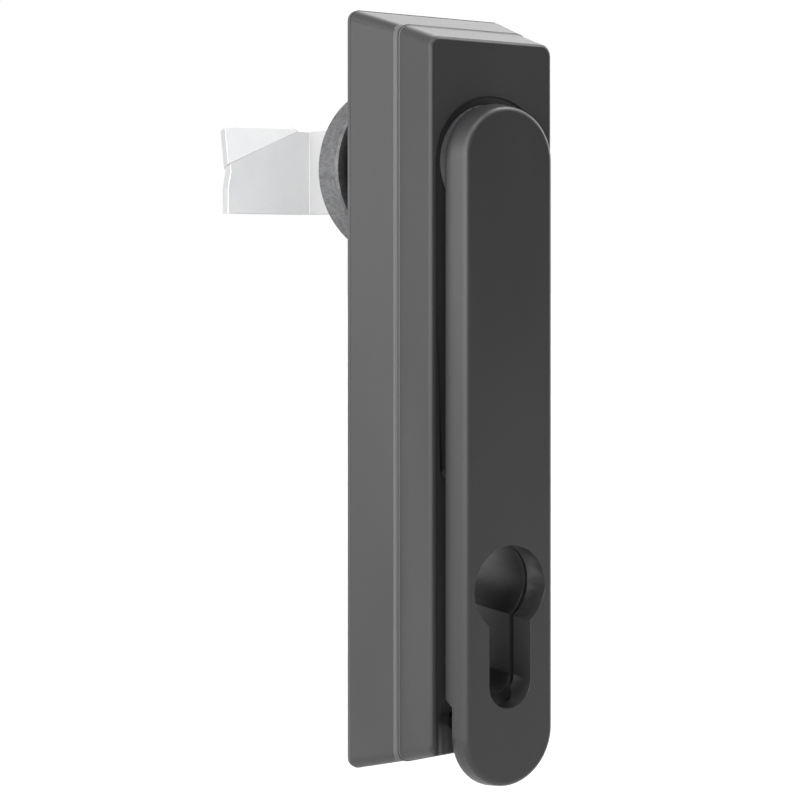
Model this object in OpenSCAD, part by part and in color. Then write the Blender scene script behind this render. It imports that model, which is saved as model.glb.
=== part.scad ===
// Swing handle latch for a cabinet door, for an own lock cylinder.
// Millimetres. The origin lies on the spindle axis where the door's outer face is.
// +X is right seen from outside, +Y goes into the cabinet, +Z is up.

/* [Housing] */
// Depth of the housing and its seal, from the door to the front face
depth = 26; // [23:0.5:32]
// Width of the front face
front_w = 30.5; // [29:0.5:36]
// Distance from the cylinder opening's lower end down to the end of the front face
end_below = 9.25; // [8.5:0.25:16]
// Distance from the spindle axis up to the top of the front face
front_top = 25.4; // [24:0.2:32]
// Depth of the front block, down to the small shoulder
front_block_d = 10.8; // [8:0.2:13]
// How much each side of the front block widens towards the shoulder
front_draft = 1; // [0.2:0.1:2]
// Width of the shoulder between the two blocks
shoulder = 0.9; // [0.4:0.1:2]
// How much each side of the rear block widens towards the door
rear_draft = 3; // [0.5:0.1:5]
// How much the top and the bottom end slope out over the whole depth
end_run = 8.5; // [4:0.5:12]
// Radius of the long corners
corner_r = 2.4; // [1:0.1:4]
// Break on the outer edges of the front face
edge_break = 0.5; // [0.2:0.1:1]
// Thickness of the outer walls
wall = 2.2; // [1.8:0.1:2.6]

/* [Dish and finger scoop] */
// Radius of the dish around the handle's head at the front face
dish_r = 13.85; // [13.4:0.05:14.2]
// Depth of the dish
dish_d = 1; // [0.6:0.1:1.6]
// How much narrower the scoop is than the dish on each side
scoop_edge = 0.6; // [0.3:0.1:1.5]
// Depth of the finger scoop below the front face
scoop_d = 3.5; // [2:0.1:4]
// Height of the ramp into the scoop
scoop_ramp = 5; // [3:0.5:8]

/* [Lock cylinder opening] */
// Distance from the spindle axis down to the cylinder's centre
phz_z = 87.4; // [86:0.2:92]
// Radius of the round part
phz_r = 8.75; // [8.6:0.05:8.9]
// Width of the lower part
phz_w = 10.2; // [10:0.1:10.6]
// Whole height of the opening
phz_h = 33.3; // [33:0.1:34]

/* [Handle] */
// How far the handle stands in front of the housing
handle_h = 6.4; // [6:0.1:9]
// Gap between the handle and the front face
handle_gap = 0.2; // [0.1:0.05:0.4]
// Half width of the handle at its back
handle_r = 12.05; // [11.6:0.05:12.3]
// Half width of the flat front
handle_flat_r = 9.9; // [9:0.1:10.4]
// Radius of the rounding between the handle's slanting side and its flat front
handle_round = 1.6; // [0.8:0.1:2.4]
// Angle at which that rounding begins, close to the slant of the side
side_slant = 12; // [6:0.5:20]
// Height of the head's centre above the spindle axis
head_z = 0.4; // [0:0.1:0.8]
// Distance from the cylinder opening's lower end down to the centre of the handle's lower end
tail_below = 5.05; // [4:0.05:8]
// How far above the opening's lower end the handle steps back for the fingers
step_above = 2.45; // [1.5:0.05:3]
// Depth of that step
step_d = 2.35; // [2.2:0.05:2.6]
// Thickness of the handle's front wall
handle_wall = 2; // [1.6:0.1:2.6]
// Number of ribs across the hollow back
handle_ribs = 4; // [2:1:6]

/* [Hinge of the handle] */
// Height of the hinge pin above the spindle axis
hinge_z = 7; // [6:0.1:7.4]
// Radius of the hinge pin
hinge_r = 1.5; // [1.2:0.1:1.7]
// Width of the spindle's tongue
tongue_w = 9.8; // [8:0.2:11]
// Radius of the tongue around the pin
tongue_r = 2.6; // [2.4:0.1:2.7]
// Thickness of the washers beside the tongue
hinge_washer_t = 0.5; // [0.3:0.1:0.8]
// How far the handle swings out, in degrees
swing_max = 30; // [15:1:35]

/* [Spindle and bearing] */
// Radius of the spindle's shaft
shaft_r = 7; // [6:0.1:7.4]
// Radius of the spindle's head disc
disc_r = 12.2; // [11:0.1:12.4]
// Thickness of the head disc
disc_t = 3.3; // [2.5:0.1:4]
// Radius of the bearing sleeve that passes through the door
sleeve_r = 11; // [10:0.1:11.2]
// Thickness of the sleeve's flange
flange_t = 2.5; // [2:0.1:3]
// How far the sleeve stands out behind the door's outer face
sleeve_out = 18.5; // [16:0.5:24]
// Thickness of the thrust washer under the disc
thrust_t = 0.5; // [0.3:0.1:0.8]
// Running clearance on every radius that turns
run = 0.05; // [0.03:0.01:0.1]
// Side of the spindle's square end
square_w = 10; // [8:0.5:11]

/* [Ring nut] */
// Radius of the ring nut
nut_r = 19.8; // [17:0.1:22]
// Thickness of the ring nut
nut_t = 8.4; // [5:0.1:9]
// Gap for door and seal in front of the ring nut
nut_gap = 5.2; // [1:0.1:7]

/* [Cam] */
// Distance from the spindle axis to the cam's tip
cam_l = 34.8; // [30:0.2:50]
// Width of the cam's arm
cam_w = 19.2; // [16:0.2:22]
// Thickness of the cam
cam_t = 3; // [2:0.1:4]
// How far the arm is set back behind the hub
cam_set = 8.3; // [4:0.1:9]
// Distance from the spindle axis to the bend of the arm
cam_bend_x = 14; // [13.6:0.1:18]
// Tilt of the lead-in corner, in degrees
cam_lead = 14; // [6:1:20]

/* [Locking slide] */
// Travel of the locking slide
slide_travel = 4; // [2:0.1:4]
// Thickness of the slide plate
slide_t = 2.4; // [1.6:0.1:2.6]
// Width of each leg beside the cylinder
leg_w = 2.4; // [1.8:0.1:2.6]
// Width of the rails beside the legs
rail_w = 1.2; // [1:0.1:1.4]
// Distance from the opening's round part down to the tops of the legs
leg_below = 3.35; // [3.2:0.05:4]
// Height of the bar that joins the legs
bar_h = 3.5; // [2.5:0.1:4]
// Thickness of the driver's sheet
driver_t = 1.6; // [1.2:0.1:1.8]
// Radius of the round room in which the cylinder's cam turns
cam_room_r = 15.4; // [14:0.1:16]
// Sliding clearance around the slide
play = 0.15; // [0.1:0.05:0.2]

/* [Fixing] */
// Radius of the thread in the brass inserts
insert_thread_r = 2.5; // [2:0.25:3]
// Outer radius of the brass inserts
insert_r = 3.6; // [3.3:0.1:4]
// Length of the brass inserts
insert_l = 8; // [6:0.5:9]
// Distance from the cylinder's centre up to the upper insert
insert_up = 31.4; // [28:0.2:34]
// Thickness of the flat seal against the door
seal_t = 1; // [0.5:0.1:2]

/* [Hidden] */
$fn = 64;
eps = 0.01;
big = 60;

// Levels along Y
y_front = -depth;
y_shoulder = y_front + front_block_d;
y_back = -seal_t;
y_dish = y_front + dish_d;
y_inside = y_dish + wall;
y_handle_back = y_front - handle_gap;
y_handle_front = y_front - handle_h;
// The disc's face lies just below the dish floor; washer and flange follow behind it
y_disc = y_dish + 0.1;
y_thrust = y_disc + disc_t + run;
y_flange = y_thrust + thrust_t + run;
y_web = y_flange + flange_t;
web_t = 3;
y_hub = sleeve_out + 1.2;
y_arm = y_hub + cam_set;

// Half widths at three levels and the slope of the ends
half_front = front_w / 2;
half_shoulder = half_front + front_draft;
half_rear = half_shoulder + shoulder;
half_back = half_rear + rear_draft;
phz_bottom = -phz_z - (phz_h - phz_r);
front_bottom = phz_bottom - end_below;
tail_z = tail_below - phz_bottom;
step_z = -phz_bottom - step_above;
function end_out(y) = end_run * (y - y_front) / depth;

// A flat shape drawn in X and Z, made solid from y0 to y1
module slab(y0, y1) {
    translate([0, y1, 0]) rotate([90, 0, 0]) linear_extrude(y1 - y0) children();
}

// A profile of radius and Y turned about the spindle axis
module turned() {
    rotate([-90, 0, 0]) rotate_extrude() children();
}

// A round bar along X
module x_bar(r, x0, x1, y, z) {
    translate([x0, y, z]) rotate([0, 90, 0]) cylinder(r = r, h = x1 - x0);
}

// One level of the housing's outline, made smaller all round by inset
module level(y, half, inset, r) {
    out = end_out(y) - inset;
    rr = max(r - inset, 0.6);
    slab(y - eps / 2, y + eps / 2)
        for (sx = [-1, 1], z = [front_bottom - out + rr, front_top + out - rr])
            translate([sx * (half - inset - rr), z]) circle(rr, $fn = 32);
}

// The outer form: two drafted blocks with sloping ends and rounded long corners
module housing_outside() {
    hull() {
        level(y_front, half_front, edge_break, corner_r);
        level(y_front + edge_break, half_front + front_draft * edge_break / front_block_d, 0,
            corner_r);
        level(y_shoulder + shoulder, half_shoulder, 0, corner_r);
    }
    hull() {
        level(y_shoulder, half_shoulder + shoulder * 0.3, 0, corner_r);
        level(y_shoulder + shoulder * 0.7, half_rear, 0, corner_r);
        level(y_back - edge_break, half_back, 0, corner_r);
        level(y_back - eps / 2, half_back, edge_break, corner_r);
    }
}

// The hollow inside, open towards the door
module housing_inside() {
    hull() {
        level(y_inside, half_front + front_draft / 3, wall, corner_r);
        level(y_shoulder + wall, half_shoulder, wall, corner_r);
    }
    hull() {
        level(y_shoulder + wall, half_rear, wall, corner_r);
        level(y_back + eps, half_back, wall, corner_r);
    }
}

// Opening for a profile half cylinder; grow adds a wall all round
module phz(grow = 0) {
    translate([0, -phz_z]) {
        circle(phz_r + grow);
        translate([-phz_w / 2 - grow, -(phz_h - phz_r - phz_w / 2)])
            square([phz_w + 2 * grow, phz_h - phz_r - phz_w / 2]);
        translate([0, -(phz_h - phz_r - phz_w / 2)]) circle(phz_w / 2 + grow);
    }
}
phz_wall = 1;
step_lead = 0.8;

// Dish around the handle: round at the top, straight sides down to the bottom end
module dish() {
    slab(y_front - 1, y_dish) {
        circle(dish_r);
        translate([-dish_r, front_bottom - end_run]) square([2 * dish_r, end_run - front_bottom]);
    }
}

// Finger scoop: a trough with an elliptic floor that ramps down and runs out at the bottom
scoop_half = dish_r - scoop_edge;
module scoop_level(z, d) {
    translate([0, y_front, z]) linear_extrude(eps)
        polygon(concat([[-scoop_half, -2], [scoop_half, -2]],
            [for (a = [0 : 15 : 180]) [scoop_half * cos(a), d * sin(a)]]));
}
module scoop() {
    hull() {
        scoop_level(-step_z + 1.5, dish_d * 0.6);
        scoop_level(-step_z - scoop_ramp, scoop_d);
        scoop_level(front_bottom - end_run - 1, scoop_d);
    }
}

// Places of the slide: its plate runs behind the scoop's floor
floor_t = 2.2;
y_slide = y_front + scoop_d + floor_t + play;
leg_x = phz_w / 2 + phz_wall + play;
leg_out = leg_x + leg_w;
slide_low = phz_bottom - phz_wall - play - slide_travel - bar_h;
leg_top = -phz_z - phz_r - leg_below;
stem_h = 4.4;
hook_top = -step_z - step_d - 0.35;
stem_low = hook_top - stem_h;
hook_front = y_front - step_d + play;
lip_t = 1;
// Lower edge of the lip that the hooks grip, and the stems' height that still passes below it
lip_low = -step_z + step_lead - (step_lead + 1.7) * (1 + lip_t) / (1 + step_d - handle_gap);
stem_t = lip_low - play - slide_travel - stem_low;
cover_t = 1.2;
y_cover = y_slide + slide_t + play;
rail_x = leg_out + play;
screw_r = 0.8;
boss_r = 2;
boss_x = rail_x + rail_w + 1;
cover_z = [slide_low + 1.1, leg_top + slide_travel + boss_r];
insert_z = [insert_up - phz_z, front_bottom + 1.7];
// Driver: foot on the right leg, fork beside the cylinder's cam
foot_h = 7.6;
foot_low = leg_top - foot_h - 0.4;
fork_x = phz_r + 2.65;
fork_w = 4.6;
fork_y = y_back - 4.8;
driver_back = y_back - 0.4;
rivet_r = 0.7;
rivet_z = [foot_low + foot_h - 1.8, foot_low + 1.8];
// Detent spring: a strip between the left rail and two posts
spring_t = 0.4;
spring_x = rail_x + rail_w + 0.05;
spring_z = [cover_z[0] + boss_r + 2.5, leg_top + 0.5];
detent_z = leg_top - 8;

// Windows in the scoop's floor for the slide's two hooks
module hook_windows() {
    for (s = [-1, 1]) translate([s * (leg_x + leg_w / 2), 0, 0])
        translate([-leg_w / 2 - play, y_front - 1, stem_low - play])
            cube([leg_w + 2 * play, y_slide - y_front + 1, stem_h + slide_travel + 2 * play]);
}

// Walls, bosses and ribs that stand in the hollow
rib_t = 1.6;
module housing_inner_walls() {
    slab(y_inside - 1, y_back + 1) circle(sleeve_r + 3);
    slab(y_inside - 1, y_web + web_t) circle(disc_r + run + 2.4);
    slab(y_inside - 1, -6) phz(phz_wall);
    translate([-big / 2, y_inside - 1, front_bottom - end_run])
        cube([big, y_slide - play - y_inside + 1, -step_z + 4 - front_bottom + end_run]);
    translate([-rib_t / 2, y_cover + 2.4, insert_z[1]])
        cube([rib_t, -6 - y_cover - 2.4, phz_bottom - insert_z[1]]);
    for (z = spring_z) translate([-spring_x - spring_t - 1.3, y_inside - 1, z - 1])
        cube([1.25, y_cover - y_inside + 1, 2]);
    for (s = [-1, 1]) {
        translate([s * (rail_x + rail_w / 2) - rail_w / 2, y_inside - 1, slide_low + 4])
            cube([rail_w, y_cover - y_inside + 1, leg_top - slide_low - 3.5]);
        for (z = cover_z) translate([s * boss_x, y_cover, z]) rotate([90, 0, 0])
            cylinder(r = boss_r, h = y_cover - y_inside + 1);
    }
    for (z = insert_z) translate([0, 0, z]) slab(y_cover + 2.4, y_back + 1) circle(insert_r + 1.6);
    translate([0, 0, insert_z[0]]) slab(y_inside - 1, y_back + 1) circle(insert_r + 1.6);
    for (i = [0 : 3]) translate([-big / 2, y_inside - 1, -22 - 16.5 * i - rib_t / 2])
        cube([big, depth - seal_t - dish_d - wall - 3, rib_t]);
    translate([-rib_t / 2, y_inside - 1, -phz_z + phz_r])
        cube([rib_t, depth - seal_t - dish_d - wall - 3, phz_z - phz_r - sleeve_r]);
    translate([-rib_t / 2, y_inside - 1, sleeve_r])
        cube([rib_t, depth - seal_t - dish_d - wall - 3, front_top - sleeve_r + 4]);
}

module base_housing() {
    color([0.2, 0.2, 0.21]) difference() {
        housing_outside();
        difference() {
            housing_inside();
            housing_inner_walls();
        }
        dish();
        scoop();
        slab(y_front - 1, y_web) circle(disc_r + run);
        slab(y_front, 1) circle(sleeve_r + 2 * eps);
        slab(y_front - 1, 1) phz();
        hook_windows();
        sleeve_lug(play);
        for (z = insert_z) translate([0, 0, z]) slab(y_back - insert_l - 1, 1) circle(insert_r);
        for (p = buffer_places) translate([p[0], 0, p[1]]) slab(y_front, y_dish + 1.2) circle(buffer_r);
        for (s = [-1, 1], z = cover_z) translate([s * boss_x, 0, z])
            slab(y_cover - 3.5, y_cover + 1) circle(screw_r, $fn = 24);
        translate([-spring_x - 1, y_slide - play, detent_z - 2.6])
            cube([spring_x + 1 - leg_x, slide_t + 1, 5.2]);
    }
}

// Flat seal between housing and door
module door_seal() {
    color([0.1, 0.1, 0.1]) difference() {
        slab(y_back, 0) hull()
            for (sx = [-1, 1], z = [front_bottom - end_run + corner_r + 0.3,
                front_top + end_run - corner_r - 0.3])
                translate([sx * (half_back - corner_r - 0.3), z]) circle(corner_r, $fn = 32);
        slab(y_back - 1, 1) circle(sleeve_r + 0.3);
        slab(y_back - 1, 1) phz(1.2);
        translate([0, 0, -phz_z]) slab(y_back - 1, 1) circle(cam_room_r);
        for (z = insert_z) translate([0, 0, z]) slab(y_back - 1, 1) circle(insert_thread_r + 0.8);
    }
}

// A small lug that stops the sleeve from turning in the housing
lug_w = 4;
module sleeve_lug(grow = 0) {
    translate([-lug_w / 2 - grow, y_flange, -disc_r - 1.2 - grow])
        cube([lug_w + 2 * grow, flange_t, 4]);
}

// Turn stop: a pin under the disc runs in a quarter ring slot of the flange
stop_r = 9.9;
stop_pin_r = 1.2;
stop_a = 45;
module bearing_sleeve() {
    color([0.55, 0.56, 0.58]) difference() {
        union() {
            turned() polygon([[shaft_r + run, y_flange], [disc_r, y_flange], [disc_r, y_web],
                [sleeve_r, y_web], [sleeve_r, sleeve_out - 1], [sleeve_r - 1, sleeve_out],
                [shaft_r + run, sleeve_out]]);
            sleeve_lug();
        }
        rotate([0, -stop_a - 90, 0]) rotate([-90, 0, 0]) translate([0, 0, y_flange - 1])
            rotate_extrude(angle = 90) translate([stop_r - stop_pin_r - 0.1, 0])
                square([2 * stop_pin_r + 0.2, flange_t + 0.5]);
        for (a = [stop_a, stop_a + 90]) rotate([0, -a, 0]) translate([stop_r, 0, 0])
            slab(y_flange - 1, y_web - 0.5) circle(stop_pin_r + 0.1, $fn = 32);
    }
}

// Round nut that clamps the door
module ring_nut() {
    c = 0.5;
    color([0.33, 0.34, 0.35]) turned() polygon([[sleeve_r + eps, nut_gap],
        [nut_r - c, nut_gap], [nut_r, nut_gap + c], [nut_r, nut_gap + nut_t - c],
        [nut_r - c, nut_gap + nut_t], [sleeve_r + eps, nut_gap + nut_t]]);
}

module thrust_washer() {
    color([0.85, 0.83, 0.76]) slab(y_thrust, y_thrust + thrust_t) difference() {
        circle(stop_r - stop_pin_r - 0.3);
        circle(shaft_r + run);
    }
}

// Spindle: head disc with tongue, shaft with seal groove, square end with thread hole
y_pin = y_handle_front + 1.2 + play + tongue_r;
seal_y = -8;
seal_r = 0.95;
square_end = y_hub + cam_t - 0.5;
module spindle() {
    color([0.6, 0.61, 0.63]) difference() {
        union() {
            slab(y_disc, y_disc + disc_t) circle(disc_r);
            turned() polygon([[0, y_disc + disc_t - 1], [shaft_r, y_disc + disc_t - 1],
                [shaft_r, seal_y - seal_r - 0.1], [shaft_r - 2 * seal_r, seal_y - seal_r - 0.1],
                [shaft_r - 2 * seal_r, seal_y + seal_r + 0.1], [shaft_r, seal_y + seal_r + 0.1],
                [shaft_r, y_hub - 0.05], [0, y_hub - 0.05]]);
            intersection() {
                translate([-square_w / 2, y_hub - 1, -square_w / 2])
                    cube([square_w, square_end - y_hub + 1, square_w]);
                slab(y_hub - 1, square_end) circle(shaft_r - 0.2);
            }
            x_bar(tongue_r, -tongue_w / 2, tongue_w / 2, y_pin, hinge_z);
            translate([-tongue_w / 2, y_pin, hinge_z - tongue_r])
                cube([tongue_w, y_disc - y_pin + 0.5, 2 * tongue_r]);
        }
        x_bar(hinge_r + run, -tongue_w, tongue_w, y_pin, hinge_z);
        slab(square_end - cam_screw_l - 2, square_end + 1) circle(cam_screw_r);
        rotate([0, -stop_a, 0]) translate([stop_r, 0, 0])
            slab(y_disc + disc_t - 2, y_disc + disc_t + 1) circle(stop_pin_r, $fn = 32);
    }
}

module spindle_seal() {
    color([0.08, 0.08, 0.08]) rotate([-90, 0, 0]) translate([0, 0, seal_y])
        rotate_extrude() translate([shaft_r + run / 2 - seal_r, 0]) circle(seal_r - run / 2, $fn = 24);
}

module turn_stop_pin() {
    color([0.7, 0.7, 0.72]) rotate([0, -stop_a, 0]) translate([stop_r, 0, 0])
        slab(y_disc + disc_t - 2, y_web - 0.8) circle(stop_pin_r, $fn = 32);
}

// Cross section of half the handle: half width x at each level y, from back to front
back_break = 0.35;
round_end = 74;
function round_x(a) = handle_flat_r + handle_round * (cos(a) - cos(round_end));
function round_y(a) = y_handle_front + handle_round * (sin(round_end) - sin(a));
handle_half = concat(
    [[0, y_handle_back], [handle_r - back_break, y_handle_back],
        [handle_r, y_handle_back - back_break]],
    [for (i = [0 : 8]) let (a = side_slant + (round_end - side_slant) * i / 8)
        [round_x(a), round_y(a)]],
    [[0, y_handle_front]]);
module handle_outside() {
    for (z = [head_z, -tail_z]) translate([0, 0, z]) turned() polygon(handle_half);
    translate([0, 0, -tail_z]) linear_extrude(tail_z + head_z) {
        polygon(handle_half);
        mirror([1, 0]) polygon(handle_half);
    }
}

// The lower end is thinner at its back, with a short slope at the step
module handle_step() {
    rotate([90, 0, 90]) translate([0, 0, -big / 2]) linear_extrude(big)
        polygon([[y_handle_back + 1, -step_z + step_lead], [y_handle_back - step_d + handle_gap,
            -step_z - 1.7], [y_handle_back - step_d + handle_gap, -tail_z - big],
            [y_handle_back + 1, -tail_z - big]]);
}

// Room for the spindle's tongue over the whole swing
pocket_half = tongue_w / 2 + hinge_washer_t + 0.03;
module tongue_pocket() {
    r = tongue_r + play;
    x_bar(r, -pocket_half, pocket_half, y_pin, hinge_z);
    translate([-pocket_half, y_pin, hinge_z]) rotate([90, 0, 90]) linear_extrude(2 * pocket_half)
        polygon([[0, -r], [4, -r], [4, (r + 4 * sin(swing_max)) / cos(swing_max)],
            [0, r / cos(swing_max)], [-r * sin(swing_max), r * cos(swing_max)]]);
}

// Bevel behind the head: it meets the dish floor when the handle is swung fully out
module swing_bevel() {
    translate([-big / 2, y_pin, hinge_z]) rotate([swing_max, 0, 0])
        translate([0, y_dish - y_pin - play, -big / 2]) cube([big, big, big]);
}

// Two slots behind a lip, which the slide's hooks enter
module hook_slots() {
    for (s = [-1, 1]) translate([s * (leg_x + leg_w / 2) - leg_w / 2 - 2 * play,
            hook_front - play, stem_low - 2 * play]) {
        cube([leg_w + 4 * play, y_handle_back - lip_t - hook_front + play,
            stem_h + slide_travel + 4 * play]);
    }
}

// Hollow back between the head and the cylinder opening, with cross ribs
hollow_top = hinge_z - tongue_r - 5;
hollow_bottom = -phz_z + phz_r + 3;
module handle_hollow() {
    half = handle_flat_r - 2;
    difference() {
        union() {
            slab(y_handle_front + handle_wall, y_handle_back + 1) {
                translate([-half, hollow_bottom + 3]) square([2 * half, hollow_top - hollow_bottom - 6]);
                translate([-half + 3, hollow_bottom])
                    square([2 * half - 6, hollow_top - hollow_bottom]);
                for (s = [-1, 1], z = [hollow_bottom + 3, hollow_top - 3])
                    translate([s * (half - 3), z]) circle(3, $fn = 32);
            }
        }
        for (i = [1 : handle_ribs])
            translate([-big / 2, y_handle_front, hollow_top - 0.8
                    - i * (hollow_top - hollow_bottom) / (handle_ribs + 1)])
                cube([big, handle_h - handle_gap - 1, 1.6]);
    }
}

module handle() {
    color([0.24, 0.24, 0.25]) difference() {
        handle_outside();
        handle_step();
        swing_bevel();
        tongue_pocket();
        handle_hollow();
        hook_slots();
        slab(y_handle_front - 1, y_front + 1) phz();
        x_bar(hinge_r, -pin_left, big / 2, y_pin, hinge_z);
    }
}

// The pin is pressed into the handle from the right and turns in the tongue
pin_left = 7.4;
pin_right = 8.2;
module hinge_pin() {
    color([0.72, 0.72, 0.74]) x_bar(hinge_r, -pin_left, pin_right, y_pin, hinge_z);
}

module hinge_washers() {
    color([0.85, 0.83, 0.76]) for (s = [-1, 1]) translate([s * (pocket_half - hinge_washer_t / 2), 0, 0])
        difference() {
            x_bar(tongue_r - 0.1, -hinge_washer_t / 2, hinge_washer_t / 2, y_pin, hinge_z);
            x_bar(hinge_r, -1, 1, y_pin, hinge_z);
        }
}

// Small rubber buttons in the dish floor that the handle rests against
buffer_r = 1.3;
buffer_places = [[-10.6, -64], [10.6, -64]];
module handle_buffers() {
    color([0.08, 0.08, 0.08]) for (p = buffer_places) translate([p[0], 0, p[1]])
        slab(y_front - 0.05, y_dish + 1.2) circle(buffer_r);
}

// Slide: a plate with two legs beside the cylinder and two hooks through the floor
module locking_slide() {
    color([0.78, 0.78, 0.74]) difference() {
        union() {
            for (s = [-1, 1]) translate([s * (leg_x + leg_w / 2) - leg_w / 2, 0, 0]) {
                translate([0, y_slide, slide_low]) cube([leg_w, slide_t, leg_top - slide_low]);
                translate([0, y_front - step_d + 1, stem_low])
                    cube([leg_w, y_slide - y_front + step_d, stem_t]);
                translate([0, hook_front, stem_low])
                    cube([leg_w, y_front - lip_t - handle_gap - play - hook_front, stem_h]);
            }
            translate([-leg_x - 1, y_slide, slide_low]) cube([2 * leg_x + 2, slide_t, bar_h]);
        }
        for (z = rivet_z) translate([leg_x + leg_w / 2, 0, z])
            slab(y_slide - 1, y_slide + slide_t + 1) circle(rivet_r, $fn = 24);
        for (z = [detent_z, detent_z - slide_travel]) translate([-leg_out, 0, z])
            slab(y_slide - 1, y_slide + slide_t + 1)
                polygon([[-1, -1.4], [0.4, 0], [-1, 1.4]]);
    }
}

// Driver: bent strip that carries the slide's movement back to the cylinder's cam
module slide_driver() {
    y0 = y_slide + slide_t;
    fork_top = -phz_z + phz_r + 0.3;
    color([0.78, 0.78, 0.74]) difference() {
        union() {
            translate([leg_x, y0, foot_low]) cube([leg_w, driver_t, foot_h]);
            translate([leg_x, y0, foot_low]) cube([driver_t, driver_back - y0, foot_h]);
            translate([leg_x, fork_y, foot_low])
                cube([fork_x + fork_w - leg_x, driver_back - fork_y, foot_h]);
            translate([fork_x, fork_y, foot_low])
                cube([fork_w, driver_back - fork_y, fork_top - foot_low]);
        }
        translate([fork_x - 1, fork_y - 1, -phz_z - 4.2]) cube([fork_w - 0.2, 8, 8.4]);
        for (z = rivet_z) translate([leg_x + leg_w / 2, 0, z])
            slab(y0 - 1, y0 + driver_t + 1) circle(rivet_r, $fn = 24);
        for (z = rivet_z) translate([leg_x + leg_w / 2, 0, z])
            slab(y0 + driver_t, y0 + driver_t + 1.5) circle(rivet_r + 0.6, $fn = 24);
    }
}

module driver_rivets() {
    y0 = y_slide + slide_t + driver_t;
    color([0.7, 0.7, 0.7]) for (z = rivet_z) translate([leg_x + leg_w / 2, 0, z]) {
        slab(y_slide, y0 + 0.1) circle(rivet_r, $fn = 24);
        slab(y0, y0 + 0.7) circle(rivet_r + 0.5, $fn = 24);
    }
}

// Leaf spring beside the left leg; its hump drops into one of two notches of the leg
module slide_detent_spring() {
    x0 = -spring_x;
    x1 = -leg_out - 0.1;
    t = spring_t;
    color([0.75, 0.76, 0.78]) slab(y_slide, y_slide + slide_t)
        polygon([[x0, spring_z[1] + 1], [x0, detent_z + 2.2], [x1, detent_z], [x0, detent_z - 2.2],
            [x0, spring_z[0] - 1], [x0 - t, spring_z[0] - 1], [x0 - t, detent_z - 2.5],
            [x1 - 1.3 * t, detent_z], [x0 - t, detent_z + 2.5], [x0 - t, spring_z[1] + 1]]);
}

// Cover that holds the slide in its guides
module slide_cover() {
    z0 = cover_z[0] - boss_r + 0.1;
    color([0.7, 0.71, 0.7]) difference() {
        slab(y_cover, y_cover + cover_t)
            translate([-boss_x - boss_r, z0])
                square([2 * boss_x + 2 * boss_r, cover_z[1] + boss_r - z0]);
        slab(y_cover - 1, y_cover + cover_t + 1) phz(phz_wall + play);
        translate([0, y_cover - 1, foot_low - play])
            cube([leg_out + 2 * play, cover_t + 2, foot_h + slide_travel + 2 * play]);
        for (s = [-1, 1], z = cover_z) translate([s * boss_x, 0, z])
            slab(y_cover - 1, y_cover + cover_t + 1) circle(screw_r + 0.3, $fn = 24);
    }
}

module cover_screws() {
    head_r = boss_r - 0.2;
    color([0.75, 0.75, 0.77]) for (s = [-1, 1], z = cover_z) translate([s * boss_x, 0, z])
        difference() {
            union() {
                slab(y_cover - 3.4, y_cover + cover_t + 0.2) circle(screw_r, $fn = 24);
                slab(y_cover + cover_t, y_cover + cover_t + 1.2) circle(head_r, $fn = 32);
            }
            for (a = [0, 90]) rotate([0, a, 0]) translate([-1.1, y_cover + cover_t + 0.6, -0.2])
                cube([2.2, 1, 0.4]);
        }
}

module fixing_inserts() {
    color([0.8, 0.66, 0.35]) for (z = insert_z) translate([0, 0, z])
        slab(y_back - insert_l, y_back) difference() {
            circle(insert_r);
            circle(insert_thread_r);
        }
}

// Low friction washer between the sleeve's end and the cam
module cam_slip_washer() {
    color([0.85, 0.83, 0.76]) slab(sleeve_out + 0.1, y_hub - 0.05) difference() {
        circle(sleeve_r - 1);
        circle(shaft_r + run);
    }
}

// Cam: a strip with a round hub, a crank and a flat arm whose upper corner leads in
crank_run = 5;
cam_screw_r = 2.5;
cam_screw_l = 10;
cam_screw_key = 8;
lock_washer_t = 1.5;
lead_x = cam_bend_x + 3;
lead_z = 1.4;
tip_notch = 0.7;
module cam_strip() {
    xb = -cam_bend_x;
    difference() {
        translate([0, 0, -cam_w / 2]) linear_extrude(cam_w)
            polygon([[cam_w / 2, y_hub], [xb + crank_run, y_hub], [xb, y_arm], [-cam_l, y_arm],
                [-cam_l, y_arm + cam_t], [xb - 1.2, y_arm + cam_t],
                [xb + crank_run - 1.2, y_hub + cam_t], [cam_w / 2, y_hub + cam_t]]);
        difference() {
            slab(y_hub - 1, y_hub + cam_t + 1) translate([0, -cam_w]) square([cam_w, 2 * cam_w]);
            slab(y_hub - 2, y_hub + cam_t + 2) circle(cam_w / 2);
        }
        slab(y_arm - 1, y_arm + cam_t + 1)
            polygon([[-cam_l - 1, -cam_w / 2], [-cam_l + tip_notch, 0], [-cam_l - 1, cam_w / 2]]);
        translate([-square_w / 2 - 0.05, y_hub - 1, -square_w / 2 - 0.05])
            cube([square_w + 0.1, cam_t + 2, square_w + 0.1]);
    }
}
lead_corner = [[-cam_l, lead_z], [-lead_x, cam_w / 2], [-lead_x, cam_w / 2 + 0.6],
    [-cam_l, cam_w / 2 + 0.6]];
module cam() {
    rise = atan2(cam_w / 2 - lead_z, cam_l - lead_x);
    color([0.86, 0.87, 0.88]) {
        difference() {
            cam_strip();
            slab(y_arm - 1, y_arm + cam_t + 1) polygon([lead_corner[0] - [2, 1], lead_corner[1],
                [-lead_x, cam_w], [-cam_l - 2, cam_w]]);
        }
        translate([-lead_x, y_arm, cam_w / 2]) rotate([0, -rise, 0]) rotate([-cam_lead, 0, 0])
            rotate([0, rise, 0]) translate([lead_x, -y_arm, -cam_w / 2])
                slab(y_arm, y_arm + cam_t) polygon(lead_corner);
    }
}

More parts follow.
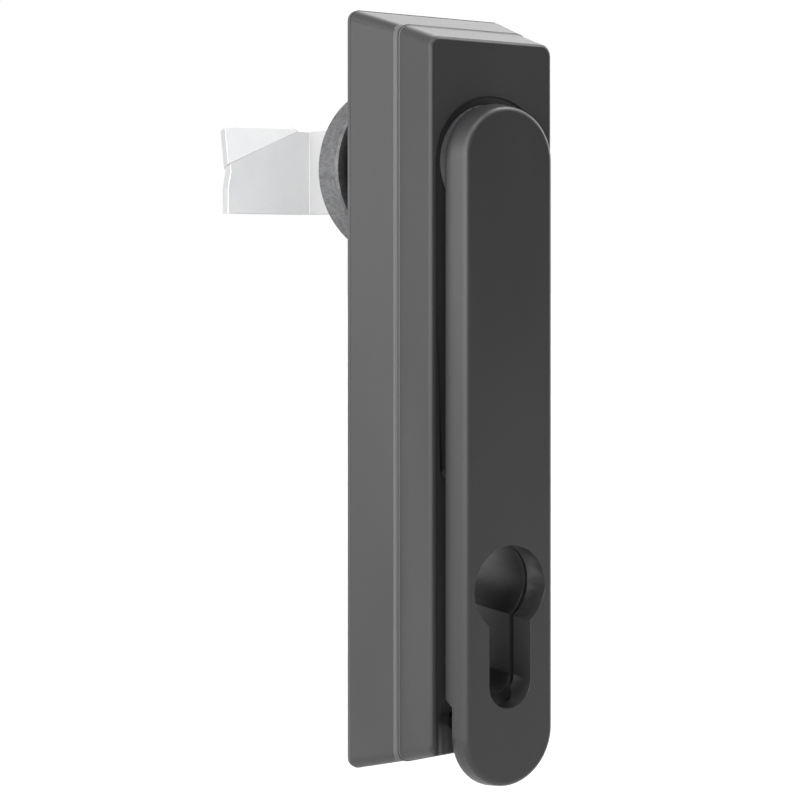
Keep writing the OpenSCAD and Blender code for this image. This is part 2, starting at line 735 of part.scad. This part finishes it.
// Split spring washer under the screw head
module cam_lock_washer() {
    color([0.8, 0.8, 0.82]) slab(y_hub + cam_t, y_hub + cam_t + lock_washer_t) difference() {
        circle(cam_w / 2 - cam_screw_r - 1.1);
        circle(cam_screw_r + 0.2);
        translate([2, -0.5]) square([cam_w / 2, 1]);
    }
}

module cam_screw() {
    y0 = y_hub + cam_t + lock_washer_t;
    color([0.82, 0.82, 0.84]) {
        slab(square_end - cam_screw_l, y0 + 0.5) circle(cam_screw_r);
        slab(y0, y0 + 0.7 * cam_screw_key / 1.6) rotate(30)
            circle(cam_screw_key / sqrt(3), $fn = 6);
    }
}

base_housing();
door_seal();
bearing_sleeve();
ring_nut();
thrust_washer();
spindle();
spindle_seal();
turn_stop_pin();
hinge_pin();
hinge_washers();
handle();
handle_buffers();
locking_slide();
slide_driver();
driver_rivets();
slide_detent_spring();
slide_cover();
cover_screws();
fixing_inserts();
cam_slip_washer();
cam();
cam_lock_washer();
cam_screw();
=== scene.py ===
# %% [markdown]
# # A swing handle latch for a cabinet door
# The latch is a long black plastic housing with a handle that swings out and turns a cranked steel cam
# behind the door. Its solids come packed, so this lesson adds what makes them look real: screw threads,
# grained plastic, zinc and cast metal, soft light and a camera. Loading the frame first keeps every
# new piece in the same metres and axes as the solids.

import math

import bpy
import numpy as np
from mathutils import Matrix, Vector


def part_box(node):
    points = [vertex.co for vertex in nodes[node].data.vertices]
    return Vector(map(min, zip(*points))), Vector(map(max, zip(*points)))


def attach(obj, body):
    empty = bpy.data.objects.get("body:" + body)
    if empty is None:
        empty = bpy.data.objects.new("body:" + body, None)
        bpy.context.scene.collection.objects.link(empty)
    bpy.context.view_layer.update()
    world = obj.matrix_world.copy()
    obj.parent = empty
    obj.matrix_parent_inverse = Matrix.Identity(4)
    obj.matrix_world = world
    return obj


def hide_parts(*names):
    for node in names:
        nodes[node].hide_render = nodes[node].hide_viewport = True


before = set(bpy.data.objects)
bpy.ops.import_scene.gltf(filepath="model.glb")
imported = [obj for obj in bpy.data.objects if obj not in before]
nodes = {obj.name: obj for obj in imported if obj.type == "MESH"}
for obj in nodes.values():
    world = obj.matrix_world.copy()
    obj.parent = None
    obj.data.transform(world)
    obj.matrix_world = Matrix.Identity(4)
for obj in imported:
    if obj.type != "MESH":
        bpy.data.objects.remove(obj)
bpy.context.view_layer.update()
MM = 0.001

# %% [markdown]
# ## A mesh from a grid
# Most turned parts of the latch are one profile carried round an axis. Such a shape is a function of two
# parameters: one runs along the profile and one round the axis. Working it out as two arrays and putting
# them into the mesh at once is quick, and the formula can be read in one line.


# %% Helper: closed grid to mesh
def closed_grid(name, points):
    """A mesh from an array of points, rows by columns: each cell of the grid becomes one four-cornered
    face. The last column joins the first and the last row joins the first, so nothing stays open."""
    rows, columns = points.shape[:2]
    row, column = np.meshgrid(np.arange(rows), np.arange(columns), indexing="ij")
    row, column = row.ravel(), column.ravel()
    next_row, next_column = (row + 1) % rows, (column + 1) % columns
    faces = np.stack([row * columns + column, row * columns + next_column,
                      next_row * columns + next_column, next_row * columns + column], 1)
    mesh = bpy.data.meshes.new(name)
    mesh.from_pydata(points.reshape(-1, 3).tolist(), [], faces.tolist())
    mesh.update()
    made = bpy.data.objects.new(name, mesh)
    bpy.context.scene.collection.objects.link(made)
    return made


def smooth(made):
    """Shades every face of a piece smooth."""
    made.data.polygons.foreach_set("use_smooth", [True] * len(made.data.polygons))


print("helpers ready: closed_grid, smooth")


# %% Helper: a profile carried round the spindle's axis
def carried_round(angle, before, radii, places, after):
    """One row of points for each ring, at (radius * sin(angle), y, radius * cos(angle)). The rings of
    before and after are plain and given as (radius, y). Between them lie the rows of radii, which change
    with the angle, at their places along y."""
    def plain(rings):
        return [np.full_like(angle, radius) for radius, _ in rings]

    radius = np.array(plain(before) + list(radii) + plain(after))
    y = np.array([place for _, place in before] + list(places) + [place for _, place in after])
    y = y[:, None] * np.ones_like(angle)
    return np.stack([radius * np.sin(angle), y, radius * np.cos(angle)], -1)


def fading(y, fade_in, fade_out):
    """A factor for each place y: 0 at the first, 1 after the length fade_in, and 0 again at the last, over
    the length fade_out."""
    return np.clip((y - y[0]) / fade_in, 0, 1) * np.clip((y[-1] - y) / fade_out, 0, 1)


print("helpers ready: carried_round, fading")

# %% [markdown]
# ## The threaded neck
# The sleeve that passes through the door carries a screw thread, which the ring nut runs on. A true
# thread is one ridge that climbs round the neck. A Screw modifier could sweep it, but it ends abruptly.
# Here the radius at each point depends on how far along the neck it is and how far round: a triangle wave
# of (distance / pitch - turn) gives one continuous ridge, and one more factor lets it fade out at the ends.

# %% The bearing sleeve with its thread
NECK_R = 11.0 * MM
NECK_BORE_R = 7.05 * MM
NECK_FLANGE_R = 12.2 * MM
NECK_FLANGE_T = 2.5 * MM
NECK_CHAMFER = 0.9 * MM
THREAD_PITCH = 1.5 * MM
THREAD_DEPTH = 0.75 * MM
THREAD_GAP = 0.4 * MM
THREAD_FADE_IN = 2 * MM
THREAD_FADE_OUT = 1 * MM
THREAD_ROWS_A_TURN = 10
FLANK_SLOPE = 1.25
CREST_FLAT = 0.1
low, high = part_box("bearing_sleeve")
NECK_Y0, NECK_Y1 = low.y, high.y


def threaded_neck(steps_round=96):
    """Radius as a function of place y and angle: the nominal radius less the thread's depth times a
    flattened triangle wave of (y / pitch - angle / full turn), faded out near both ends. The first and
    last rows turn in to the bore, so the tube is closed."""
    angle = np.linspace(0, 2 * math.pi, steps_round, endpoint=False)
    start = NECK_Y0 + NECK_FLANGE_T
    y = np.arange(start + THREAD_GAP, NECK_Y1 - NECK_CHAMFER, THREAD_PITCH / THREAD_ROWS_A_TURN)
    wave = (y[:, None] / THREAD_PITCH - angle[None, :] / (2 * math.pi)) % 1.0
    groove = np.clip(FLANK_SLOPE * np.abs(2 * wave - 1) - CREST_FLAT, 0, 1)
    fade = fading(y, THREAD_FADE_IN, THREAD_FADE_OUT)
    radii = NECK_R - THREAD_DEPTH * groove * fade[:, None]
    flange = [(NECK_BORE_R, NECK_Y0), (NECK_FLANGE_R, NECK_Y0), (NECK_FLANGE_R, start), (NECK_R, start)]
    end = [(NECK_R - NECK_CHAMFER, NECK_Y1), (NECK_BORE_R, NECK_Y1)]
    return carried_round(angle, flange, radii, y, end)


neck = closed_grid("sleeve_with_thread", threaded_neck())
smooth(neck)
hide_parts("bearing_sleeve")
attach(neck, "base")
print("neck:", len(neck.data.polygons), "faces")

# %% [markdown]
# ## The ring nut
# The nut is a thick cast ring with a finely knurled rim for the fingers. A bump in its material could draw
# the knurl, but the rim's outline would stay smooth. So it is a small ripple in the radius all round: the
# crossing of two slanted waves gives the little diamonds of a rolled knurl.

# %% The ring nut with its knurl
NUT_PLAY = 0.01 * MM
NUT_EDGE = 0.5 * MM
KNURLS = 150
KNURL_DEPTH = 0.22 * MM
KNURL_FADE = 0.4 * MM
low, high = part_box("ring_nut")
NUT_R = (high.x - low.x) / 2
NUT_Y0, NUT_Y1 = low.y, high.y


def knurled_ring(steps_round=1200, steps_along=26):
    """The rim's radius is the nut's radius less a share of the knurl's depth: nothing where the crests of
    two waves that slant opposite ways round it meet, and the whole depth where their hollows do. The
    faces and the bore are plain rings that close the profile."""
    angle = np.linspace(0, 2 * math.pi, steps_round, endpoint=False)
    y = np.linspace(NUT_Y0 + NUT_EDGE, NUT_Y1 - NUT_EDGE, steps_along)
    turn = (y - NUT_Y0)[:, None] / NUT_R
    left = np.sin(KNURLS * (angle[None, :] + turn))
    right = np.sin(KNURLS * (angle[None, :] - turn))
    fade = fading(y, KNURL_FADE, KNURL_FADE)
    radii = NUT_R - KNURL_DEPTH * (0.5 - 0.25 * (left + right)) * fade[:, None]
    bore = NECK_R + NUT_PLAY
    front = [(bore, NUT_Y1), (bore, NUT_Y0), (NUT_R - NUT_EDGE, NUT_Y0)]
    back = [(NUT_R - NUT_EDGE, NUT_Y1)]
    return carried_round(angle, front, radii, y, back)


nut = closed_grid("ring_nut_knurled", knurled_ring())
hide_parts("ring_nut")
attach(nut, "base")
print("nut:", len(nut.data.polygons), "faces, radius", round(NUT_R / MM, 2), "mm")

# %% [markdown]
# ## Crisp but not sharp edges
# Moulded and pressed parts never have a perfect edge, and the thin bright line that a tiny rounding
# catches is what tells the eye how big a thing is. A Bevel modifier gives a solid such a rounding without
# touching its mesh, where two faces meet at a clear angle. A solid comes as loose triangles, so a Weld
# modifier joins their corners first. Only the pieces that show get one.

# %% Small roundings on the solids
WELD_GAP = 0.02 * MM
ROUNDED = {
    "cam": 0.18 * MM, "cam_screw": 0.2 * MM, "cam_lock_washer": 0.1 * MM, "base_housing": 0.25 * MM,
    "handle": 0.15 * MM, "locking_slide": 0.15 * MM, "slide_driver": 0.1 * MM,
}


def soften(node, width, angle=35, segments=2):
    """Rounds those edges of a solid where its faces meet at more than the angle in degrees. The width is
    between a tenth and a quarter of a millimetre, and the flat faces keep their own direction, so no
    shade runs out over them."""
    weld = nodes[node].modifiers.new("weld", "WELD")
    weld.merge_threshold = WELD_GAP
    bevel = nodes[node].modifiers.new("edge rounding", "BEVEL")
    bevel.width = width
    bevel.segments = segments
    bevel.limit_method = "ANGLE"
    bevel.angle_limit = math.radians(angle)
    bevel.harden_normals = True
    bevel.use_clamp_overlap = False


for name, width in ROUNDED.items():
    soften(name, width)
print("rounded:", ", ".join(ROUNDED))

# %% [markdown]
# ## Materials from noise
# Every surface of the latch is a little uneven: grain in plastic, lines in rolled sheet, blotches in cast
# metal. Noise on Object coordinates stays with a piece when it moves, needs no picture, and can be drawn
# out along one axis. The helpers turn a noise into a colour, a number or a bump.


# %% Helpers: a new material and its noise
def new_material(name):
    """Returns a material, its node tree and its main shader."""
    made = bpy.data.materials.new(name)
    made.use_nodes = True
    return made, made.node_tree, made.node_tree.nodes["Principled BSDF"]


def object_noise(tree, scale, detail, rough, stretch=(1, 1, 1)):
    """A noise on Object coordinates, stretched along chosen axes; returns its value output."""
    place = tree.nodes.new("ShaderNodeTexCoord")
    turn = tree.nodes.new("ShaderNodeMapping")
    turn.inputs["Scale"].default_value = stretch
    noise = tree.nodes.new("ShaderNodeTexNoise")
    noise.inputs["Scale"].default_value = scale
    noise.inputs["Detail"].default_value = detail
    noise.inputs["Roughness"].default_value = rough
    tree.links.new(place.outputs["Object"], turn.inputs["Vector"])
    tree.links.new(turn.outputs["Vector"], noise.inputs["Vector"])
    return noise.outputs["Fac"]


print("helpers ready: new_material, object_noise")


# %% Helpers: colour, number and bump from a value
def ramp(tree, value, low, high, at=(0.3, 0.7)):
    """Turns a value into a colour between low and high."""
    made = tree.nodes.new("ShaderNodeValToRGB")
    made.color_ramp.elements[0].position, made.color_ramp.elements[1].position = at
    made.color_ramp.elements[0].color = (*low, 1)
    made.color_ramp.elements[1].color = (*high, 1)
    tree.links.new(value, made.inputs["Fac"])
    return made.outputs["Color"]


def span(tree, value, low, high):
    """Turns a value from 0 to 1 into a number between low and high."""
    made = tree.nodes.new("ShaderNodeMapRange")
    made.inputs["To Min"].default_value = low
    made.inputs["To Max"].default_value = high
    tree.links.new(value, made.inputs["Value"])
    return made.outputs["Result"]


def bump(tree, value, strength, distance, after=None):
    """A bump from a height value, laid over an earlier bump if there is one."""
    made = tree.nodes.new("ShaderNodeBump")
    made.inputs["Strength"].default_value = strength
    made.inputs["Distance"].default_value = distance
    tree.links.new(value, made.inputs["Height"])
    if after is not None:
        tree.links.new(after, made.inputs["Normal"])
    return made.outputs["Normal"]


print("helpers ready: ramp, span, bump")

# %% [markdown]
# ## Moulded plastic
# The housing and the handle are black polyamide. Its surface is eroded by a spark in the mould, so it is a
# field of very small pits: they blur reflections and turn black into a soft dark grey. Two noises do it, a
# fine one for the pits and a broad one for the slight flow marks. The flow marks tell in the colour, the
# pits in the roughness, and both in the bump.

# %% Black plastics, rubber and the white slide plastic
PITS = {"scale": 2600, "detail": 3, "rough": 0.6}
FLOW_MARKS = {"scale": 60, "detail": 3, "rough": 0.5, "stretch": (1, 1, 0.35)}


def moulded_plastic(name, dark, light, roughness, grain):
    """Plastic with spark eroded grain: fine pits, broad flow marks, and roughness that follows the pits."""
    made, tree, shader = new_material(name)
    pits = object_noise(tree, **PITS)
    flow = object_noise(tree, **FLOW_MARKS)
    tree.links.new(ramp(tree, flow, dark, light), shader.inputs["Base Color"])
    tree.links.new(span(tree, pits, roughness - 0.05, roughness + 0.06), shader.inputs["Roughness"])
    broad = bump(tree, flow, 0.06, 0.3 * MM)
    tree.links.new(bump(tree, pits, grain, 0.02 * MM, broad), shader.inputs["Normal"])
    return made


housing_black = moulded_plastic("housing black", (0.017, 0.017, 0.0176), (0.022, 0.022, 0.0228), 0.48, 0.35)
handle_black = moulded_plastic("handle black", (0.016, 0.016, 0.0166), (0.02, 0.02, 0.0207), 0.42, 0.25)
seal_black = moulded_plastic("seal rubber", (0.045, 0.045, 0.045), (0.065, 0.065, 0.065), 0.75, 0.5)
buffer_black = moulded_plastic("buffer rubber", (0.004, 0.004, 0.004), (0.006, 0.006, 0.006), 0.85, 0.5)
slide_white = moulded_plastic("washer plastic", (0.72, 0.71, 0.66), (0.78, 0.77, 0.72), 0.42, 0.15)
print("plastics ready")

# %% [markdown]
# ## A shade on part of a piece
# A real piece isn't one colour all over: cut edges are duller than the sheet's face. Some shades here are
# painted light and shade instead, where the lamps alone give the wrong tone. Each shade belongs to a place
# on the piece, or to the way its surface faces, so it is mixed in where a test of Object coordinates or of
# the surface's own direction says yes.


# %% Helpers: arithmetic and tests
def maths(tree, operation, a, b):
    """One step of arithmetic; a and b are value outputs or plain numbers."""
    made = tree.nodes.new("ShaderNodeMath")
    made.operation = operation
    for socket, value in zip(made.inputs, (a, b)):
        if isinstance(value, (int, float)):
            socket.default_value = value
        else:
            tree.links.new(value, socket)
    return made.outputs["Value"]


def above(tree, value, limit):
    """1 where the value is more than the limit, otherwise 0."""
    return maths(tree, "GREATER_THAN", value, limit)


def below(tree, value, limit):
    """1 where the value is less than the limit, otherwise 0."""
    return maths(tree, "LESS_THAN", value, limit)


def both(tree, a, b):
    """1 where both tests say 1."""
    return maths(tree, "MULTIPLY", a, b)


print("helpers ready: maths, above, below, both")


# %% Helpers: coordinates and a shade
def own_coordinates(tree, kind):
    """The x, y and z outputs of a point ("Object") or of the surface's direction ("Normal")."""
    place = tree.nodes.new("ShaderNodeTexCoord")
    parts = tree.nodes.new("ShaderNodeSeparateXYZ")
    tree.links.new(place.outputs[kind], parts.inputs["Vector"])
    return parts.outputs["X"], parts.outputs["Y"], parts.outputs["Z"]


def tint(made, where, shade):
    """Mixes a shade of grey over a material's colour, as much as the value where says."""
    tree = made.node_tree
    shader = tree.nodes["Principled BSDF"]
    mix = tree.nodes.new("ShaderNodeMix")
    mix.data_type = "RGBA"
    factor, under, over = mix.inputs[0], mix.inputs[6], mix.inputs[7]
    tree.links.new(where, factor)
    tree.links.new(shader.inputs["Base Color"].links[0].from_socket, under)
    over.default_value = (shade, shade, shade, 1)
    tree.links.new(mix.outputs[2], shader.inputs["Base Color"])


print("helpers ready: own_coordinates, tint")

# %% [markdown]
# ## The housing's shoulder
# Between the housing's two blocks runs a narrow slanting shoulder. It looks lighter than the walls beside
# it, as a rounding that catches the light from the left does, so a paler colour is painted along it: a
# painted highlight. A second material could do it, but that needs faces of its own, and a solid's mesh is
# left alone. So the housing's material finds the shoulder itself, by its place and the way it faces.

# %% A painted highlight on the shoulder
SHOULDER_FRONT_Y = -15.5 * MM
SHOULDER_BACK_Y = -14.2 * MM
SHOULDER_FACING_Y = -0.35
SHOULDER_HIGHLIGHT_SHADE = 0.075


def paint_shoulder_highlight(made):
    """Paints a highlight: makes those faces paler that lie between the shoulder's front and back and look
    clearly forward.
    """
    tree = made.node_tree
    _, along, _ = own_coordinates(tree, "Object")
    _, facing_y, _ = own_coordinates(tree, "Normal")
    there = both(tree, above(tree, along, SHOULDER_FRONT_Y), below(tree, along, SHOULDER_BACK_Y))
    tint(made, both(tree, there, below(tree, facing_y, SHOULDER_FACING_Y)), SHOULDER_HIGHLIGHT_SHADE)


# Painted highlight along the housing's shoulder.
paint_shoulder_highlight(housing_black)
print("shoulder from y", SHOULDER_FRONT_Y, "to", SHOULDER_BACK_Y)

# %% [markdown]
# ## Metals
# The cam is pressed from sheet and zinc plated, so it is nearly white, with the fine lines of the rolled
# sheet. The nut and the sleeve are die cast and tarnished: darker, blotched and rough. Turned parts show
# rings round their axis, and here a noise that changes quickly along the axis stands for them. That makes
# sheet and turned metal the same thing but for the numbers, so one helper serves both.

# %% Zinc, turned steel, spring steel and brass
CLOUDS = {"scale": 90, "detail": 3, "rough": 0.55}
LINES = {"scale": 160, "detail": 2, "rough": 0.6}
BRIGHT_ZINC = ((0.8, 0.81, 0.82), (0.86, 0.865, 0.87), 0.45)
ZINC_METAL = 0.25


def plated_sheet(name, low, high, roughness, lines=(1, 1, 14), metal=0.8):
    """Bright metal: fine lines across the axis whose number in lines is large, and soft clouds in the
    plating. A metal well below 1 stands for the chalky bloom of zinc, which scatters part of the light."""
    made, tree, shader = new_material(name)
    clouds = object_noise(tree, **CLOUDS)
    rolled = object_noise(tree, **LINES, stretch=lines)
    tree.links.new(ramp(tree, clouds, low, high), shader.inputs["Base Color"])
    shader.inputs["Metallic"].default_value = metal
    tree.links.new(span(tree, rolled, roughness - 0.06, roughness + 0.08), shader.inputs["Roughness"])
    tree.links.new(bump(tree, rolled, 0.08, 0.02 * MM), shader.inputs["Normal"])
    return made


zinc_sheet = plated_sheet("bright zinc", *BRIGHT_ZINC, metal=ZINC_METAL)
cam_zinc = plated_sheet("bright zinc of the cam", *BRIGHT_ZINC, metal=ZINC_METAL)
hook_zinc = plated_sheet("bright zinc of the slide", *BRIGHT_ZINC, metal=ZINC_METAL)
steel_turned = plated_sheet("turned steel", (0.5, 0.51, 0.53), (0.62, 0.62, 0.64), 0.3, (1, 10, 1))
spring_steel = plated_sheet("spring steel", (0.4, 0.41, 0.43), (0.5, 0.51, 0.53), 0.25, (1, 1, 8))
brass = plated_sheet("brass", (0.68, 0.5, 0.2), (0.78, 0.6, 0.28), 0.3, (1, 10, 1))
print("sheet and turned metals ready")

# %% Cast metal
BLOTCHES = {"scale": 1300, "detail": 4, "rough": 0.65, "stretch": (1, 0.45, 1)}


def cast_metal(name, low, high):
    """Cast and tarnished metal: blotches in colour and roughness, drawn out along the spindle's axis, and
    a pitted bump."""
    made, tree, shader = new_material(name)
    blotch = object_noise(tree, **BLOTCHES)
    pits = object_noise(tree, **PITS)
    tree.links.new(ramp(tree, blotch, low, high, (0.35, 0.68)), shader.inputs["Base Color"])
    shader.inputs["Metallic"].default_value = 0.6
    tree.links.new(span(tree, blotch, 0.42, 0.62), shader.inputs["Roughness"])
    coarse = bump(tree, blotch, 0.25, 0.08 * MM)
    tree.links.new(bump(tree, pits, 0.3, 0.03 * MM, coarse), shader.inputs["Normal"])
    return made


nut_zinc = cast_metal("grey cast zinc of the nut", (0.075, 0.075, 0.078), (0.15, 0.152, 0.155))
zinc_cast = cast_metal("grey cast zinc", (0.07, 0.07, 0.073), (0.14, 0.142, 0.145))
print("cast metals ready")

# %% [markdown]
# ## Where the metal was worked, and painted shade on it
# The press shears the cam's edges, and the plating is duller there. The outside of the cam's bend and its
# back get a painted shade, because the lamps on the left and behind would wash them out to white. The
# slide's hooks are coloured black before HOOKS_Y, so that nothing bright shows beside the handle. The nut's
# face round the neck gets a painted shade, for the shade in the gap behind the housing. All of it could be
# painted by hand. Tests of place and direction are chosen, because a few numbers say where each shade goes.

# %% The cam's cut edges, and painted shade on its bend and back
CAM_TIP_X = -25 * MM
# The back and the outside of the bend get a painted shade; the cut edges are duller zinc.
CAM_BACK_PAINTED_SHADE = {"facing_y": 0.4, "shade": 0.55}
CAM_BEND_PAINTED_SHADE = {"facing_x": -0.6, "shade": 0.32}
CAM_EDGE = {"facing_z": 0.8, "facing_x": -0.85, "shade": 0.4}


def cut_edges_and_painted_shade(made):
    """Dulls the cam's zinc at its cut edges and paints shade on its bend and back. Its cut edges are those
    that face up or down, and those beyond CAM_TIP_X that face its free end. The bend's outside faces the
    same way, but lies before CAM_TIP_X, and gets a painted shade. The back faces
    +y and gets a painted shade too."""
    tree = made.node_tree
    along, _, _ = own_coordinates(tree, "Object")
    facing_x, facing_y, facing_z = own_coordinates(tree, "Normal")
    # Painted shade on the back.
    tint(made, above(tree, facing_y, CAM_BACK_PAINTED_SHADE["facing_y"]), CAM_BACK_PAINTED_SHADE["shade"])
    # Painted shade on the outside of the bend, before the tip.
    at_tip = below(tree, along, CAM_TIP_X)
    before_tip = maths(tree, "SUBTRACT", 1, at_tip)
    tint(made, both(tree, below(tree, facing_x, CAM_BEND_PAINTED_SHADE["facing_x"]), before_tip), CAM_BEND_PAINTED_SHADE["shade"])
    # The cut edges are duller zinc.
    long_edges = above(tree, maths(tree, "ABSOLUTE", facing_z, 0), CAM_EDGE["facing_z"])
    end_edge = both(tree, below(tree, facing_x, CAM_EDGE["facing_x"]), at_tip)
    tint(made, maths(tree, "MAXIMUM", long_edges, end_edge), CAM_EDGE["shade"])


# Paints shade on the cam's bend and back, and dulls its cut edges.
cut_edges_and_painted_shade(cam_zinc)
print("cam shaded, its tip from x", CAM_TIP_X)

# %% The slide's hooks
HOOKS_Y = -20.3 * MM
HOOK_SHADE = 0.015


def blackened_front(made, front_y, shade):
    """Blackens whatever lies before front_y."""
    _, along, _ = own_coordinates(made.node_tree, "Object")
    tint(made, below(made.node_tree, along, front_y), shade)


blackened_front(hook_zinc, HOOKS_Y, HOOK_SHADE)
print("hooks black before y", HOOKS_Y)

# %% Painted shade on the nut's face
SHADE_INNER_R = 16.8 * MM
SHADE_OUTER_R = 19.4 * MM
SHADE_FACING_Y = -0.5
NUT_FACE_SHADE = 0.006


def paint_face_shade(made, inner, outer, shade):
    """Paints shade on the face that looks to the door (its direction is -y), where it lies in the gap
    behind the housing: none at the radius outer, more and more inwards, and fully from the radius inner on."""
    tree = made.node_tree
    x, _, z = own_coordinates(tree, "Object")
    _, facing_y, _ = own_coordinates(tree, "Normal")
    squares = maths(tree, "ADD", maths(tree, "MULTIPLY", x, x), maths(tree, "MULTIPLY", z, z))
    inwards = tree.nodes.new("ShaderNodeMapRange")
    inwards.inputs["From Min"].default_value = outer
    inwards.inputs["From Max"].default_value = inner
    tree.links.new(maths(tree, "SQRT", squares, 0), inwards.inputs["Value"])
    tint(made, both(tree, inwards.outputs["Result"], below(tree, facing_y, SHADE_FACING_Y)), shade)


# Painted shade on the nut's face, darker inwards.
paint_face_shade(nut_zinc, SHADE_INNER_R, SHADE_OUTER_R, NUT_FACE_SHADE)
print("painted shade inside radius", SHADE_OUTER_R)

# %% [markdown]
# ## Dressing the pieces
# Each solid gets the finish that its work asks for: polyamide and rubber to see and touch, zinc for what
# is pressed, steel for what is turned or springs, brass for the inserts that screws go into. A line for
# each piece would do as well, but one table shows them side by side, and a solid that is missing from it
# stops the script.

# %% Give each piece its material
FINISH = {
    "base_housing": housing_black, "handle": handle_black, "door_seal": seal_black,
    "spindle_seal": seal_black, "handle_buffers": buffer_black, "thrust_washer": slide_white,
    "hinge_washers": slide_white, "cam_slip_washer": slide_white, "cam": cam_zinc,
    "locking_slide": hook_zinc, "slide_driver": zinc_sheet, "slide_cover": zinc_sheet,
    "ring_nut": zinc_cast, "bearing_sleeve": zinc_cast, "spindle": steel_turned,
    "turn_stop_pin": steel_turned, "hinge_pin": steel_turned, "driver_rivets": steel_turned,
    "cover_screws": steel_turned, "cam_screw": steel_turned, "slide_detent_spring": spring_steel,
    "cam_lock_washer": spring_steel, "fixing_inserts": brass,
}


def wear(made, material):
    """Puts one material on an object in place of any others."""
    made.data.materials.clear()
    made.data.materials.append(material)


for name, made in nodes.items():
    wear(made, FINISH[name])
wear(neck, zinc_cast)
wear(nut, nut_zinc)
print("finished:", len(FINISH), "nodes")

# %% [markdown]
# ## Floor, light and camera
# The photograph is a white studio picture, and black plastic shows mostly what it mirrors. So the light is
# a dim surround with soft lamps in it, as a function of direction alone. Separate lamp objects would do
# too, but a surround lights every part alike, however far off it is. Four of its lamps on the left draw the
# side walls and the handle's slanting side, two behind and two narrow ones high up glance off the sloping
# top and the roundings, and a soft one lifts the right. Rays that come straight from the camera see plain
# white instead, because the backdrop there is white. The camera is level, and its small downward shift
# keeps the upright edges parallel, as they are in the photograph.

# %% The pale floor
FLOOR_Z = -0.2
FLOOR_REACH = 8
FLOOR_GREY = 0.57
corners = [(-FLOOR_REACH, -FLOOR_REACH, FLOOR_Z), (FLOOR_REACH, -FLOOR_REACH, FLOOR_Z),
           (FLOOR_REACH, FLOOR_REACH, FLOOR_Z), (-FLOOR_REACH, FLOOR_REACH, FLOOR_Z)]
floor_mesh = bpy.data.meshes.new("studio_floor")
floor_mesh.from_pydata(corners, [], [(0, 1, 2, 3)])
floor = bpy.data.objects.new("studio_floor", floor_mesh)
bpy.context.scene.collection.objects.link(floor)
floor_white, _, floor_shader = new_material("floor white")
floor_shader.inputs["Base Color"].default_value = (FLOOR_GREY, FLOOR_GREY, FLOOR_GREY, 1)
floor_shader.inputs["Roughness"].default_value = 0.9
wear(floor, floor_white)
print("floor at", FLOOR_Z)

# %% The soft lamps: direction, strength and narrowness of each
LAMPS = {
    "left": ((-1, 0, 0), 6.3, 8),
    "left behind": ((-0.85, 0.5, 0), 4.0, 30),
    "left front": ((-0.85, -0.52, 0), 15.0, 40),
    "left above": ((-0.7, 0, 0.7), 2.8, 8),
    "behind": ((0.52, 0.85, 0), 0.5, 8),
    "high behind": ((0.45, 0.55, 0.7), 4.4, 20),
    "high right": ((0.45, 0, 0.89), 13.0, 40),
    "high left": ((-0.3, -0.35, 0.87), 7.0, 40),
    "right": ((0.92, 0.25, 0.3), 3.0, 8),
}
print("lamps:", ", ".join(LAMPS))

# %% The surround
EVEN_LIGHT = 0.1
WHITE_BACKDROP = 1.0
world = bpy.data.worlds.new("white surround")
bpy.context.scene.world = world
world.use_nodes = True
tree = world.node_tree
background = tree.nodes["Background"]
background.inputs["Color"].default_value = (1, 1, 1, 1)
place = tree.nodes.new("ShaderNodeTexCoord")


def lamp(direction, strength, narrowness):
    """The light that a lamp adds to a direction of the surround: its strength times the cosine between
    the two directions, raised to its narrowness, and nothing beyond a right angle."""
    nearness = tree.nodes.new("ShaderNodeVectorMath")
    nearness.operation = "DOT_PRODUCT"
    nearness.inputs[1].default_value = Vector(direction).normalized()
    tree.links.new(place.outputs["Generated"], nearness.inputs[0])
    facing = maths(tree, "MAXIMUM", nearness.outputs["Value"], 0)
    return maths(tree, "MULTIPLY", maths(tree, "POWER", facing, narrowness), strength)


total = EVEN_LIGHT
for direction, strength, narrowness in LAMPS.values():
    total = maths(tree, "ADD", lamp(direction, strength, narrowness), total)
in_picture = tree.nodes.new("ShaderNodeLightPath").outputs["Is Camera Ray"]
shining = maths(tree, "MULTIPLY", total, maths(tree, "SUBTRACT", 1, in_picture))
seen = maths(tree, "MULTIPLY", in_picture, WHITE_BACKDROP)
tree.links.new(maths(tree, "ADD", shining, seen), background.inputs["Strength"])
bpy.context.scene.view_settings.view_transform = "Standard"
print("surround: even light", EVEN_LIGHT, "and", len(LAMPS), "lamps")

# %% The camera
IMAGE = 800
FOCAL_PIXELS = 1678.0
HORIZON = 264.1
SENSOR = 36.0
CAMERA_PLACE = (-0.1982, -0.3138, -0.0210)
CAMERA_TURN = -31.4
camera_data = bpy.data.cameras.new("camera")
camera_data.sensor_width = SENSOR
camera_data.lens = FOCAL_PIXELS / IMAGE * SENSOR
camera_data.shift_y = (HORIZON - IMAGE / 2) / IMAGE
camera_data.clip_start = 0.01
camera_data.clip_end = 50
camera = bpy.data.objects.new("camera", camera_data)
camera.location = CAMERA_PLACE
camera.rotation_euler = (math.radians(90), 0, math.radians(CAMERA_TURN))
bpy.context.scene.collection.objects.link(camera)
bpy.context.scene.camera = camera
print("camera: lens", round(camera_data.lens, 2), "shift", round(camera_data.shift_y, 4))
